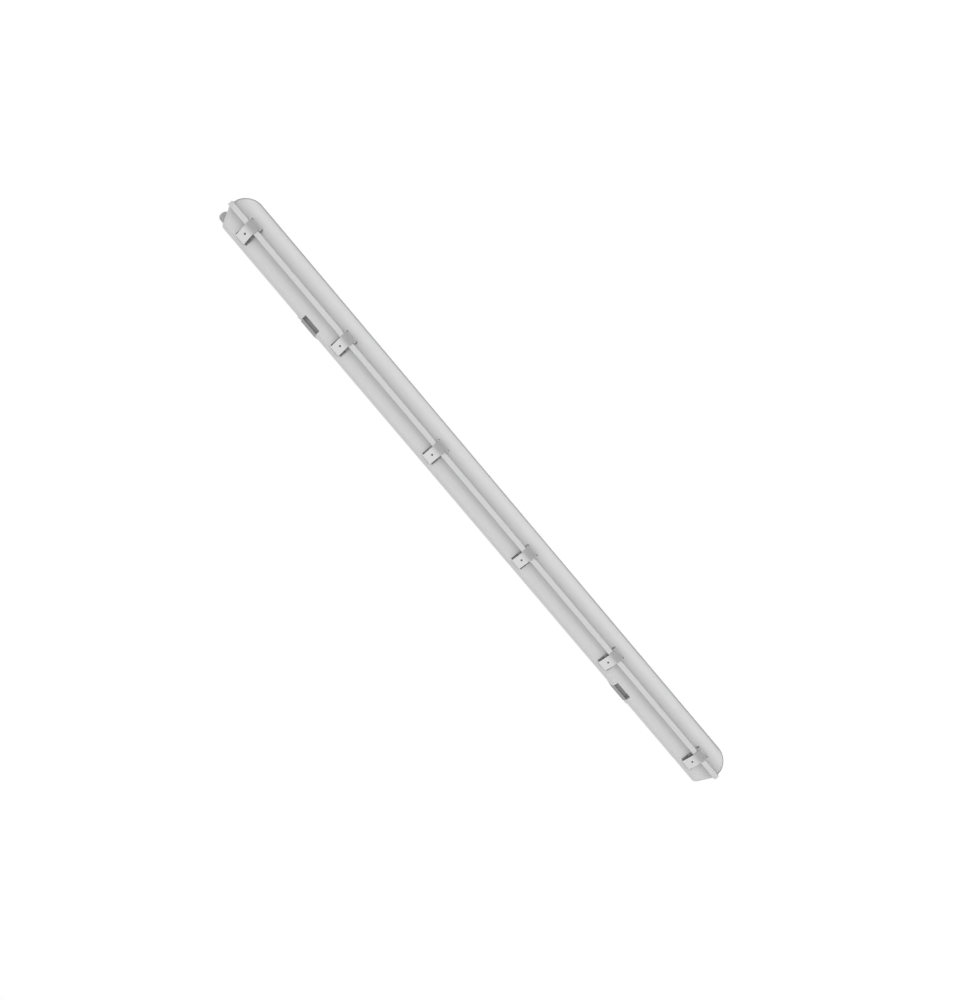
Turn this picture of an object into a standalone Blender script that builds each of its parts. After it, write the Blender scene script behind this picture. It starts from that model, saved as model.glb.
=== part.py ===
"""Linear vapor tight ceiling light with clip-on frosted cover.

Metres, +Z up.  The origin is the middle of the ceiling plane that the two mounting
straps lie against.  X runs along the light and the cable gland is at the +X end.
"""
from math import atan2, copysign, cos, pi, radians, sin, tan

import bmesh
import bpy
from mathutils import Vector

for leftover in list(bpy.data.objects):
    bpy.data.objects.remove(leftover, do_unlink=True)

# Driving sizes: the whole light
flange_length = 1.570
flange_width = 0.100
flange_corner_radius = 0.022
flange_height = 0.0111
housing_rise = 0.039
diffuser_drop = 0.0383
fit_gap = 0.0003
overrun = 0.002
circle_steps = 12
corner_steps = 5
bend_steps = 3
hole_steps = 12
screw_steps = 8
sharp_angle = radians(30)

# Mounting straps
strap_thickness = 0.0015
strap_stand_off = 0.0005
strap_width = 0.0414
strap_spacing = 1.000
strap_shoulder_reach = 0.0015
strap_arm_angle = radians(41)
strap_bend_radius = 0.0012
strap_tongue = 0.0063
strap_hole_radius = 0.00275
strap_hole_offset = 0.013

# Housing shell
wall = 0.0023
side_overhang = 0.010
end_overhang = 0.0032
side_draft = 0.0015
end_slope_share = 0.5
end_wall_share = 1.13
shoulder_radius = 0.013
shoulder_steps = 4
wall_corner_radius = 0.014
back_corner_radius = 0.009
back_edge_round = 0.001
edge_break = 0.0006
skirt_wall = 0.0022
web_thickness = 0.0022
groove_inner_inset = 0.0094
lip_depth = 0.006

# Pockets that take the straps' tongues
pocket_depth = 0.014
pocket_height = 0.0085
pocket_wall = 0.002
lip_height = 0.005

# Seats in the housing walls that the clips' plates close over
seat_side_gap = 0.0025
seat_depth = 0.006
seat_tray_gap = 0.0005

# Ribs that keep the straps from sliding outward
rib_width = 0.006
rib_length = 0.040
rib_height = 0.0018
rib_offset = 0.031
rib_edge = 0.0008

# Gasket and diffuser
gasket_height = 0.0045
gasket_crown = 0.0008
rim_clearance = 0.0004
rim_drop = 0.0009
diffuser_wall = 0.0018
diffuser_side_overhang = 0.0096
diffuser_flat_half = 0.013
diffuser_side_power_share = 2.3
diffuser_end_power_share = 1.7
diffuser_end_round = 0.030
diffuser_bottom_radius = 0.011
diffuser_steps = 8

# Clips and their catches
clips_per_side = 6
clip_end_inset = 0.071
clip_width = 0.026
clip_thickness = 0.0008
pin_radius = 0.0015
pin_inset = 0.0027
pin_drop = 0.0044
curl_start_angle = radians(150)
curl_end_angle = radians(340)
curl_steps = 9
bar_steps = 12
clip_side_gap = 0.0004
clip_skirt_gap = 0.0004
clip_bend_radius = 0.0012
clip_head_radius = 0.030
clip_head_rise = 0.003
hem_radius = 0.001
hem_spread = 0.0002
leaf_tip_gap = 0.0005
clip_free_end = 0.0112
clip_hole_radius = 0.0018
clip_hole_drop = 0.0269
tongue_inset = 0.004
cheek_thickness = 0.002
cheek_nose = 0.0027
cheek_start_angle = radians(60)
cheek_steps = 5

# Cable gland
gland_drop = 0.0164
boss_radius = 0.013
boss_wall = 0.00225
boss_face = 0.0035
boss_length = 0.016
boss_inset = 0.016
spot_face_radius = 0.0122
gland_thread_radius = 0.008
gland_bore_radius = 0.0054
gland_hex_radius = 0.0115
gland_hex_length = 0.005
gland_washer_thickness = 0.001
gland_nut_radius = 0.01125
gland_nut_wall = 0.0022
gland_nut_length = 0.0147
gland_nut_dome = 0.006
gland_mouth_radius = 0.0051
gland_locknut_radius = 0.0105
gland_locknut_length = 0.005
gland_tail = 0.009
gland_steps = 24
dome_steps = 4
seal_bore_radius = 0.0038
seal_cup_wall = 0.0012

# Gear tray and what it carries
tray_end_inset = 0.040
tray_side_gap = 0.0022
tray_sheet = 0.0008
tray_edge_height = 0.014
tray_drop = 0.0059
post_radius = 0.004
post_strap_offset = 0.100
post_edge_inset = 0.0105
screw_shank_radius = 0.0014
screw_head_radius = 0.0035
screw_head_height = 0.0022
screw_length = 0.010
board_end_inset = 0.015
board_width = 0.022
board_thickness = 0.0016
board_gap = 0.010
board_count = 3
board_screw_inset = 0.030
board_screw_offset = 0.0075
board_screw_shank_radius = 0.0011
board_screw_head_radius = 0.0024
board_screw_head_height = 0.0014
board_screw_length = 0.0033
packages_per_board = 20
package_length = 0.0035
package_width = 0.0028
package_height = 0.0008
connector_length = 0.008
connector_width = 0.005
connector_height = 0.003
driver_length = 0.240
driver_side_gap = 0.002
driver_height = 0.024
driver_edge = 0.0025
driver_ear_length = 0.010
driver_ear_thickness = 0.002
driver_ear_inset = 0.005
terminal_length = 0.024
terminal_pitch = 0.010
terminal_poles = 3
terminal_height = 0.016
terminal_step = 0.006
terminal_end_inset = 0.073
terminal_entry_radius = 0.0016
terminal_entry_depth = 0.007
earth_tab_reach = 0.014
earth_tab_width = 0.008
earth_tab_height = 0.009
lead_hole_radius = 0.003
wire_radius = 0.0012
wire_sides = 8
wire_steps = 3
lead_slope_run = 0.012
lead_bend = 0.012
link_radius = 0.0007
link_spread = 0.0009
feed_offset = 0.0065
feed_reach = 0.020
feed_bend = 0.0035

# Heights and places that follow from the sizes above
back_z = -(strap_thickness + strap_stand_off)
flange_top_z = back_z - housing_rise
flange_bottom_z = flange_top_z - flange_height
groove_floor_z = flange_top_z - web_thickness
lip_bottom_z = groove_floor_z - lip_depth
gasket_top_z = groove_floor_z - fit_gap
gasket_bottom_z = gasket_top_z - gasket_height
rim_top_z = gasket_bottom_z - fit_gap
rim_step_z = lip_bottom_z - rim_clearance
rim_bottom_z = flange_bottom_z - rim_drop
diffuser_bottom_z = rim_bottom_z - diffuser_drop
half_length = flange_length / 2
half_width = flange_width / 2
clip_pitch = (flange_length - 2 * clip_end_inset) / (clips_per_side - 1)
clip_places = [clip_pitch * ((clips_per_side - 1) / 2 - k) for k in range(clips_per_side)]
post_reach = strap_spacing / 2 + post_strap_offset
post_places = (-post_reach, 0.0, post_reach)
tray_half_length = half_length - tray_end_inset
tray_half_width = half_width - side_overhang - wall - tray_side_gap
post_offset = tray_half_width - post_edge_inset
board_step = (2 * (tray_half_length - board_end_inset) + board_gap) / board_count
board_length = board_step - board_gap
lead_hole_x = -board_step / 2
driver_place = lead_hole_x + feed_reach + driver_length / 2
driver_width = 2 * (post_offset - post_radius - driver_side_gap)
driver_ear_offset = driver_width / 2 - driver_ear_inset
terminal_place = tray_half_length - terminal_end_inset
tray_bottom_z = flange_top_z - tray_drop
tray_top_z = tray_bottom_z + tray_sheet
board_top_z = tray_bottom_z - fit_gap
board_bottom_z = board_top_z - board_thickness
pin_y = half_width - pin_inset
pin_z = flange_bottom_z - pin_drop
gland_z = back_z - gland_drop


def material(name, color, roughness, metallic=0.0, alpha=1.0):
    """Return a Principled material, made once for each name."""
    found = bpy.data.materials.get(name)
    if found:
        return found
    made = bpy.data.materials.new(name)
    made.use_nodes = True
    shader = made.node_tree.nodes["Principled BSDF"]
    shader.inputs["Base Color"].default_value = (*color, 1.0)
    shader.inputs["Roughness"].default_value = roughness
    shader.inputs["Metallic"].default_value = metallic
    shader.inputs["Alpha"].default_value = alpha
    made.diffuse_color = (*color, 1.0)
    return made


def add_object(name, bm, finish=None):
    """Turn a bmesh into a named object with outward faces."""
    bmesh.ops.recalc_face_normals(bm, faces=bm.faces)
    mesh = bpy.data.meshes.new(name)
    bm.to_mesh(mesh)
    bm.free()
    mesh.shade_smooth()
    mesh.set_sharp_from_angle(angle=sharp_angle)
    made = bpy.data.objects.new(name, mesh)
    bpy.context.scene.collection.objects.link(made)
    if finish:
        mesh.materials.append(finish)
    return made


def combine(target, operation, tools):
    """Join tools into target, or cut them out of it, and drop the tools."""
    for tool in tools:
        modifier = target.modifiers.new(operation.lower(), "BOOLEAN")
        modifier.operation = operation
        modifier.solver = "EXACT"
        modifier.object = tool
        tool.hide_render = True
        tool.display_type = "WIRE"
    depsgraph = bpy.context.evaluated_depsgraph_get()
    mesh = bpy.data.meshes.new_from_object(target.evaluated_get(depsgraph))
    mesh.shade_smooth()
    mesh.set_sharp_from_angle(angle=sharp_angle)
    target.modifiers.clear()
    target.data = mesh
    for tool in tools:
        bpy.data.objects.remove(tool, do_unlink=True)


def gather(name, pieces):
    """Put separate closed bodies into one object, as one group."""
    bm = bmesh.new()
    for piece in pieces:
        bm_piece = bmesh.new()
        bm_piece.from_mesh(piece.data)
        bm_piece.transform(piece.matrix_world)
        holder = bpy.data.meshes.new("holder")
        bm_piece.to_mesh(holder)
        bm_piece.free()
        bm.from_mesh(holder)
        bpy.data.meshes.remove(holder)
        bpy.data.objects.remove(piece, do_unlink=True)
    return add_object(name, bm)


def outline_ring(side_inset, end_inset, radius, z):
    """Points of a rounded rectangle, inset from the flange's outline."""
    centre_x = half_length - end_inset - radius
    centre_y = half_width - side_inset - radius
    points = []
    for quarter, (side_x, side_y) in enumerate(((1, 1), (-1, 1), (-1, -1), (1, -1))):
        for step in range(corner_steps + 1):
            angle = pi / 2 * (quarter + step / corner_steps)
            points.append((side_x * centre_x + radius * cos(angle),
                           side_y * centre_y + radius * sin(angle), z))
    return points


def loft(name, rings, finish=None, closed=False):
    """Bridge rings of points; close the loft on itself or cap both ends."""
    bm = bmesh.new()
    loops = [[bm.verts.new(point) for point in ring] for ring in rings]
    following = loops[1:] + ([loops[0]] if closed else [])
    for loop, after in zip(loops, following):
        for k in range(len(loop)):
            m = (k + 1) % len(loop)
            bm.faces.new((loop[k], loop[m], after[m], after[k]))
    if not closed:
        bm.faces.new(loops[0])
        bm.faces.new(list(reversed(loops[-1])))
    return add_object(name, bm, finish)


def prism(name, outline, start, end, axis="X", finish=None):
    """Extrude a closed outline: (y, z) along X, (x, z) along Y or (x, y) along Z."""
    place = {"X": lambda u, v, w: (w, u, v),
             "Y": lambda u, v, w: (u, w, v),
             "Z": lambda u, v, w: (u, v, w)}[axis]
    bm = bmesh.new()
    loops = [[bm.verts.new(place(u, v, w)) for u, v in outline] for w in (start, end)]
    for k in range(len(outline)):
        m = (k + 1) % len(outline)
        bm.faces.new((loops[0][k], loops[0][m], loops[1][m], loops[1][k]))
    bm.faces.new(loops[0])
    bm.faces.new(list(reversed(loops[1])))
    return add_object(name, bm, finish)


def block(name, low, high, finish=None):
    """A box between two corners."""
    outline = ((low[1], low[2]), (high[1], low[2]), (high[1], high[2]), (low[1], high[2]))
    return prism(name, outline, low[0], high[0], finish=finish)


def circle(centre, radius, steps=circle_steps):
    """Points of a circle in the plane of an outline."""
    angles = [2 * pi * k / steps for k in range(steps)]
    return [(centre[0] + radius * cos(angle), centre[1] + radius * sin(angle)) for angle in angles]


def hexagon(corner_radius, steps):
    """Points of a hexagon, as many as a circle has, so that the two can be bridged."""
    points = []
    for u, v in circle((0.0, 0.0), corner_radius, steps):
        from_flat = atan2(v, u) % (pi / 3) - pi / 6
        points.append((u * cos(pi / 6) / cos(from_flat), v * cos(pi / 6) / cos(from_flat)))
    return points


def turned(name, profile, place, axis="X", steps=circle_steps, finish=None, closed=False):
    """Turn (along, radius) points about an axis through place; a point marked hex is hexagonal."""
    rings = []
    for along, radius, *mark in profile:
        ring = []
        for u, v in (hexagon(radius, steps) if mark else circle((0.0, 0.0), radius, steps)):
            local = Vector((along, u, v)) if axis == "X" else Vector((u, v, along))
            ring.append(local + Vector(place))
        rings.append(ring)
    return loft(name, rings, finish, closed)


def rounded_path(points, radii, steps):
    """Replace each inner corner of a path by an arc of its own radius."""
    rounded = [Vector(points[0])]
    for before, corner, after, radius in zip(points, points[1:], points[2:], radii):
        corner = Vector(corner)
        back = (Vector(before) - corner).normalized()
        ahead = (Vector(after) - corner).normalized()
        half_angle = back.angle(ahead) / 2
        reach = radius * cos(half_angle) / sin(half_angle)
        centre = corner + (back + ahead).normalized() * (radius / sin(half_angle))
        first = (corner + back * reach - centre).normalized()
        last = (corner + ahead * reach - centre).normalized()
        for step in range(steps + 1):
            rounded.append(centre + radius * first.slerp(last, step / steps))
    rounded.append(Vector(points[-1]))
    return rounded


def strip_outline(path, thickness):
    """Closed outline of a strip that follows a path at its middle."""
    left = []
    right = []
    for k, point in enumerate(path):
        before = path[max(k - 1, 0)]
        after = path[min(k + 1, len(path) - 1)]
        along = (after - before).normalized()
        across = Vector((-along.y, along.x)) * (thickness / 2)
        left.append(point + across)
        right.append(point - across)
    return left + right[::-1]


# Finishes
housing_grey = material("housing_grey", (0.62, 0.62, 0.61), 0.5)
frosted = material("frosted", (0.70, 0.70, 0.69), 0.35)
stainless = material("stainless", (0.66, 0.66, 0.66), 0.28, 1.0)
foam = material("foam", (0.75, 0.75, 0.73), 0.9)
tray_white = material("tray_white", (0.85, 0.85, 0.84), 0.4)
board_white = material("board_white", (0.86, 0.87, 0.86), 0.45)
zinc_screw = material("zinc_screw", (0.60, 0.60, 0.58), 0.35, 1.0)
driver_white = material("driver_white", (0.78, 0.78, 0.76), 0.45)
terminal_white = material("terminal_white", (0.80, 0.80, 0.78), 0.5)
lead_insulation = material("lead_insulation", (0.55, 0.55, 0.55), 0.45)
gland_grey = material("gland_grey", (0.36, 0.36, 0.36), 0.5)
seal_rubber = material("seal_rubber", (0.06, 0.06, 0.06), 0.75)


# Housing: one moulded shell from the outside of the back, round the rim, to its inside
def end_inset_at(z):
    return end_overhang + end_slope_share * (z - flange_top_z)


def shoulder_rings(shell, radius, top_z):
    """Rings from the flat of the back down over the rounded shoulder."""
    flat_inset = side_overhang + side_draft + shoulder_radius
    rings = []
    for step in range(shoulder_steps + 1):
        angle = pi / 2 * step / shoulder_steps
        z = top_z - radius * (1 - cos(angle))
        side = flat_inset - radius * sin(angle)
        end = end_inset_at(z) + end_wall_share * shell
        if step == 0:
            end += back_edge_round
        share = step / shoulder_steps
        corner = back_corner_radius + (wall_corner_radius - back_corner_radius) * share - shell
        rings.append(outline_ring(side, end, corner, z))
    return rings


lip_side_inset = side_overhang + wall
lip_end_inset = groove_inner_inset + wall
lip_corner = flange_corner_radius - lip_end_inset
inner_corner = wall_corner_radius - wall
groove_corner = flange_corner_radius - groove_inner_inset
skirt_corner = flange_corner_radius - skirt_wall
edge_corner = flange_corner_radius - edge_break
housing_rings = shoulder_rings(0.0, shoulder_radius, back_z)
housing_rings += [
    outline_ring(side_overhang, end_overhang, wall_corner_radius, flange_top_z),
    outline_ring(edge_break, edge_break, edge_corner, flange_top_z),
    outline_ring(0.0, 0.0, flange_corner_radius, flange_top_z - edge_break),
    outline_ring(0.0, 0.0, flange_corner_radius, flange_bottom_z + edge_break),
    outline_ring(edge_break, edge_break, edge_corner, flange_bottom_z),
    outline_ring(skirt_wall, skirt_wall, skirt_corner, flange_bottom_z),
    outline_ring(skirt_wall, skirt_wall, skirt_corner, groove_floor_z),
    outline_ring(groove_inner_inset, groove_inner_inset, groove_corner, groove_floor_z),
    outline_ring(groove_inner_inset, groove_inner_inset, groove_corner, lip_bottom_z),
    outline_ring(lip_side_inset, lip_end_inset, lip_corner, lip_bottom_z),
    outline_ring(lip_side_inset, lip_end_inset, lip_corner, flange_top_z - edge_break),
    outline_ring(lip_side_inset, end_overhang + end_wall_share * wall, inner_corner, flange_top_z),
]
housing_rings += reversed(shoulder_rings(wall, shoulder_radius - wall, back_z - wall))
housing = loft("housing", housing_rings, housing_grey)

# Shape of a pocket and of the strap that hooks into it, as (y, z) outlines
shoulder_y = half_width - side_overhang - side_draft - shoulder_radius
strap_flat_half = shoulder_y + strap_shoulder_reach
shoulder_z = back_z - shoulder_radius
strap_middle_z = -strap_thickness / 2
lip_under_z = back_z - lip_height
tongue_z = lip_under_z - fit_gap - strap_thickness / 2
arm_corner_y = strap_flat_half + (strap_middle_z - tongue_z) / tan(strap_arm_angle)
pocket_floor_y = shoulder_y + shoulder_radius - pocket_depth
pocket_bottom_z = lip_under_z - pocket_height


def lip_face_y(z):
    """The lip's sloping face, behind the strap's arm."""
    along_arm = strap_flat_half + (strap_middle_z - z) / tan(strap_arm_angle)
    return along_arm - (strap_thickness / 2 + fit_gap) / sin(strap_arm_angle)


def mirrored(outline):
    return [(-y, z) for y, z in outline]


above_back = back_z + overrun
backing_radius = shoulder_radius - wall / 2
backing_outline = [(pocket_floor_y - pocket_wall, back_z - wall / 2)]
for step in range(shoulder_steps + 1):
    angle = pi / 2 * (1 - step / shoulder_steps)
    backing_outline.append((shoulder_y + backing_radius * cos(angle),
                            shoulder_z + backing_radius * sin(angle)))
backing_outline.append((shoulder_y + backing_radius, pocket_bottom_z - pocket_wall))
backing_outline.append((pocket_floor_y - pocket_wall, pocket_bottom_z - pocket_wall))
pocket_outline = [
    (lip_face_y(above_back), above_back),
    (lip_face_y(lip_under_z), lip_under_z),
    (pocket_floor_y, lip_under_z),
    (pocket_floor_y, pocket_bottom_z),
    (half_width, pocket_bottom_z),
    (half_width, above_back),
]

bracket_places = (strap_spacing / 2, -strap_spacing / 2)
pocket_half = strap_width / 2 + fit_gap
backings = []
pockets = []
for x in bracket_places:
    for side in (backing_outline, mirrored(backing_outline)):
        backings.append(prism("backing", side, x - pocket_half - pocket_wall, x + pocket_half + pocket_wall))
    for side in (pocket_outline, mirrored(pocket_outline)):
        pockets.append(prism("pocket", side, x - pocket_half, x + pocket_half))

# Seats behind the clips' plates, each a shallow box in the side wall
seat_floor_y = shoulder_y + shoulder_radius - seat_depth
seat_bottom_z = tray_bottom_z + tray_edge_height + seat_tray_gap + pocket_wall
seat_back_y = seat_floor_y - pocket_wall
backing_low_z = seat_bottom_z - pocket_wall
backing_top_y = shoulder_y + (backing_radius ** 2 - pocket_wall ** 2) ** 0.5
draft_share = side_draft / (shoulder_z - flange_top_z)
seat_backing = [(seat_back_y, shoulder_z + pocket_wall), (backing_top_y, shoulder_z + pocket_wall),
                (shoulder_y + backing_radius, shoulder_z),
                (shoulder_y + backing_radius + draft_share * (shoulder_z - backing_low_z), backing_low_z),
                (seat_back_y, backing_low_z)]
seat_outline = [(seat_floor_y, shoulder_z), (seat_floor_y, seat_bottom_z),
                (half_width, seat_bottom_z), (half_width, shoulder_z)]
seat_half = clip_width / 2 + seat_side_gap
backing_half = seat_half + pocket_wall
seat_backings = []
seats = []
for x in clip_places:
    for side in (seat_backing, mirrored(seat_backing)):
        seat_backings.append(prism("seat_backing", side, x - backing_half, x + backing_half))
    for side in (seat_outline, mirrored(seat_outline)):
        seats.append(prism("seat", side, x - seat_half, x + seat_half))

# Locating ribs across the back, just outboard of the straps
ribs = []
rib_top_z = back_z + rib_height
for x in (strap_spacing / 2 + rib_offset, -strap_spacing / 2 - rib_offset):
    rib_outline = ((x - rib_width / 2, back_z - wall / 2), (x - rib_width / 2, rib_top_z - rib_edge),
                   (x - rib_width / 2 + rib_edge, rib_top_z), (x + rib_width / 2 - rib_edge, rib_top_z),
                   (x + rib_width / 2, rib_top_z - rib_edge), (x + rib_width / 2, back_z - wall / 2))
    ribs.append(prism("rib", rib_outline, -rib_length / 2, rib_length / 2, axis="Y"))

# Posts that the gear tray is screwed to, each with a pilot hole
pilot_radius = screw_shank_radius + fit_gap
post_end_z = tray_top_z + fit_gap
screw_top_z = tray_bottom_z - fit_gap + screw_length
posts = []
for x in post_places:
    for y in (post_offset, -post_offset):
        profile = ((back_z - wall / 2, post_radius), (post_end_z, post_radius),
                   (post_end_z, pilot_radius), (screw_top_z + fit_gap, pilot_radius))
        posts.append(turned("post", profile, (x, y, 0.0), axis="Z"))

# Boss for the cable gland, with its spot face, hole and inner counterbore
boss_x = half_length - boss_inset
gland_centre = (0.0, 0.0, gland_z)
boss = turned("boss", ((boss_x - boss_length, boss_radius), (boss_x, boss_radius)),
              gland_centre, steps=gland_steps)
spot_face = turned("spot_face", ((boss_x, spot_face_radius), (half_length, spot_face_radius)),
                   gland_centre, steps=gland_steps)
gland_hole = turned("gland_hole", ((boss_x - boss_face - overrun, gland_thread_radius + fit_gap),
                                   (boss_x + overrun, gland_thread_radius + fit_gap)),
                    gland_centre, steps=gland_steps)
counterbore = turned("counterbore", ((boss_x - boss_length - overrun, boss_radius - boss_wall),
                                     (boss_x - boss_face, boss_radius - boss_wall)),
                     gland_centre, steps=gland_steps)

# Behind the lower half of the boss a block fills the space out to the sloping wall
block_low_z = gland_z - boss_radius
middle_inset = end_wall_share * wall / 2
boss_block = prism("boss_block", ((boss_x - boss_length, block_low_z),
                                  (half_length - end_inset_at(block_low_z) - middle_inset, block_low_z),
                                  (half_length - end_inset_at(gland_z) - middle_inset, gland_z),
                                  (boss_x - boss_length, gland_z)), -boss_radius, boss_radius, axis="Y")

combine(housing, "UNION", [gather("additions", backings + ribs + posts)])
combine(housing, "UNION", [gather("seat_additions", seat_backings)])
combine(housing, "UNION", [boss_block])
combine(housing, "UNION", [boss])
combine(housing, "DIFFERENCE", [gather("pocket_cuts", pockets), spot_face])
combine(housing, "DIFFERENCE", [gather("seat_cuts", seats)])
combine(housing, "DIFFERENCE", [counterbore])
combine(housing, "DIFFERENCE", [gland_hole])

# Mounting straps: a flat band whose arms follow the shoulders and hook under the lips
strap_end_y = arm_corner_y - strap_tongue
strap_corners = [(-strap_end_y, tongue_z), (-arm_corner_y, tongue_z), (-strap_flat_half, strap_middle_z),
                 (strap_flat_half, strap_middle_z), (arm_corner_y, tongue_z), (strap_end_y, tongue_z)]
strap_path = rounded_path(strap_corners, [strap_bend_radius] * 4, bend_steps)
for name, x in zip(("bracket_gland_end", "bracket_far_end"), bracket_places):
    strap = prism(name, strip_outline(strap_path, strap_thickness), x - strap_width / 2,
                  x + strap_width / 2, finish=stainless)
    holes = [prism("hole", circle((x, y), strap_hole_radius), -strap_thickness - fit_gap, fit_gap, axis="Z")
             for y in (strap_hole_offset, -strap_hole_offset)]
    combine(strap, "DIFFERENCE", [gather("strap_holes", holes)])

# Foamed gasket, a closed ring in the rim groove
gasket_outer = skirt_wall + fit_gap
gasket_inner = groove_inner_inset - fit_gap
gasket_corner = flange_corner_radius - gasket_outer
gasket_inner_corner = flange_corner_radius - gasket_inner
gasket_rings = []
for inset, corner, z in ((gasket_outer, gasket_corner, gasket_top_z),
                         (gasket_inner, gasket_inner_corner, gasket_top_z),
                         (gasket_inner, gasket_inner_corner, gasket_bottom_z + gasket_crown),
                         ((gasket_inner + gasket_outer) / 2, (gasket_corner + gasket_inner_corner) / 2,
                          gasket_bottom_z),
                         (gasket_outer, gasket_corner, gasket_bottom_z + gasket_crown)):
    gasket_rings.append(outline_ring(inset, inset, corner, z))
loft("gasket", gasket_rings, foam, closed=True)


# Diffuser: rim tongue in the groove, then a wall that rounds over to the flat bottom
def cover_rings(shell):
    """Rings down the cover's wall: the outer face at shell 0, the inner at its wall."""
    rings = []
    drop = diffuser_drop - shell
    full_half = half_width - diffuser_side_overhang - shell
    for step in range(diffuser_steps + 1):
        angle = pi / 2 * step / diffuser_steps
        depth_share = sin(angle) ** (2 / diffuser_side_power_share)
        width_share = cos(angle) ** (2 / diffuser_side_power_share) if step < diffuser_steps else 0.0
        end_share = (1 - depth_share ** diffuser_end_power_share) ** (1 / diffuser_end_power_share)
        side = half_width - diffuser_flat_half - (full_half - diffuser_flat_half) * width_share
        end = end_overhang + shell + diffuser_end_round * (1 - end_share)
        corner = wall_corner_radius - shell + (diffuser_bottom_radius - wall_corner_radius) * depth_share
        rings.append(outline_ring(side, end, corner, rim_bottom_z - drop * depth_share))
    return rings


rim_outer = skirt_wall + rim_clearance
rim_inner = groove_inner_inset - rim_clearance
rim_corner = flange_corner_radius - rim_outer
rim_inner_corner = flange_corner_radius - rim_inner
cover_inner_side = diffuser_side_overhang + diffuser_wall
diffuser_rings = list(reversed(cover_rings(0.0)))
diffuser_rings += [
    outline_ring(rim_outer, rim_outer, rim_corner, rim_bottom_z),
    outline_ring(rim_outer, rim_outer, rim_corner, rim_top_z),
    outline_ring(rim_inner, rim_inner, rim_inner_corner, rim_top_z),
    outline_ring(rim_inner, rim_inner, rim_inner_corner, rim_step_z),
    outline_ring(cover_inner_side, rim_inner + rim_clearance, rim_inner_corner - rim_clearance, rim_step_z),
    outline_ring(cover_inner_side, rim_inner + rim_clearance, rim_inner_corner - rim_clearance,
                 rim_bottom_z + rim_drop),
]
diffuser_rings += cover_rings(diffuser_wall)
diffuser = loft("diffuser", diffuser_rings, frosted)

# Catches on the diffuser rim: two cheeks and a bar for each clip
cheek_root_y = half_width - diffuser_side_overhang - diffuser_wall / 2
cheek_top_z = rim_bottom_z + diffuser_wall / 2
cheek_outline = [(cheek_root_y, cheek_top_z), (half_width - rim_outer - fit_gap, cheek_top_z)]
for step in range(cheek_steps + 1):
    angle = cheek_start_angle + (-pi / 2 - cheek_start_angle) * step / cheek_steps
    cheek_outline.append((pin_y + cheek_nose * cos(angle), pin_z + cheek_nose * sin(angle)))
cheek_outline.append((cheek_root_y, pin_z - cheek_nose - cheek_thickness))
cheek_inner = clip_width / 2 + clip_side_gap
cheeks = []
bars = []
for x in clip_places:
    for side in (1, -1):
        outline = cheek_outline if side > 0 else mirrored(cheek_outline)
        cheeks.append(prism("cheek", outline, x + cheek_inner, x + cheek_inner + cheek_thickness))
        cheeks.append(prism("cheek", outline, x - cheek_inner - cheek_thickness, x - cheek_inner))
        bar_half = cheek_inner + cheek_thickness / 2
        bars.append(turned("bar", ((x - bar_half, pin_radius), (x + bar_half, pin_radius)),
                           (0.0, side * pin_y, pin_z), steps=bar_steps))
combine(diffuser, "UNION", [gather("cheeks", cheeks)])
combine(diffuser, "UNION", [gather("bars", bars)])

# Clip: one strip from the curl round the bar, over the skirt, up to a hem and back to its tip.
# Its path is (outward, up) from the bar's middle.
curl_radius = pin_radius + fit_gap + clip_thickness / 2
skirt_run = pin_inset + clip_skirt_gap + clip_thickness / 2
curl = []
for step in range(curl_steps + 1):
    angle = curl_start_angle + (curl_end_angle - curl_start_angle) * step / curl_steps
    curl.append(Vector((curl_radius * cos(angle), curl_radius * sin(angle))))
leaving = Vector((-sin(curl_end_angle), cos(curl_end_angle)))
skirt_foot = curl[-1] + leaving * ((skirt_run - curl[-1].x) / leaving.x)
skirt_head = Vector((skirt_run, pin_drop + flange_height - edge_break + clip_head_rise))
hem_z = back_z - clip_free_end
hem_wall_y = shoulder_y + (shoulder_radius ** 2 - (hem_z - shoulder_z) ** 2) ** 0.5
leaf_start_y = hem_wall_y + clip_skirt_gap + clip_thickness / 2
hem_inner = Vector((leaf_start_y - pin_y, hem_z - pin_z))
hem_outer = hem_inner + Vector((2 * hem_radius + hem_spread, 0.0))
leaf_tip = Vector((pin_inset - tongue_inset, flange_top_z + leaf_tip_gap - pin_z))
clip_path = curl[:-1] + rounded_path(
    [curl[-1], skirt_foot, skirt_head, hem_outer, hem_inner, leaf_tip],
    [clip_bend_radius, clip_head_radius, hem_radius, hem_radius], bend_steps)

hole_v = back_z - clip_hole_drop - pin_z
plate_share = (hole_v - skirt_head.y) / (hem_outer.y - skirt_head.y)
hole_u = skirt_head.x + (hem_outer.x - skirt_head.x) * plate_share
clip_form = prism("clip_form", strip_outline(clip_path, clip_thickness), -clip_width / 2, clip_width / 2,
                  finish=stainless)
clip_hole = prism("clip_hole", circle((0.0, hole_v), clip_hole_radius), hole_u - 2 * clip_thickness,
                  hole_u + 2 * clip_thickness, axis="Y")
combine(clip_form, "DIFFERENCE", [clip_hole])
for row, side in (("front", -1), ("rear", 1)):
    for k, x in enumerate(clip_places, start=1):
        clip = bpy.data.objects.new(f"clip_{row}_{k}", clip_form.data)
        clip.location = (x, side * pin_y, pin_z)
        clip.rotation_euler.z = 0.0 if side > 0 else pi
        bpy.context.scene.collection.objects.link(clip)
bpy.data.objects.remove(clip_form, do_unlink=True)

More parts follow.
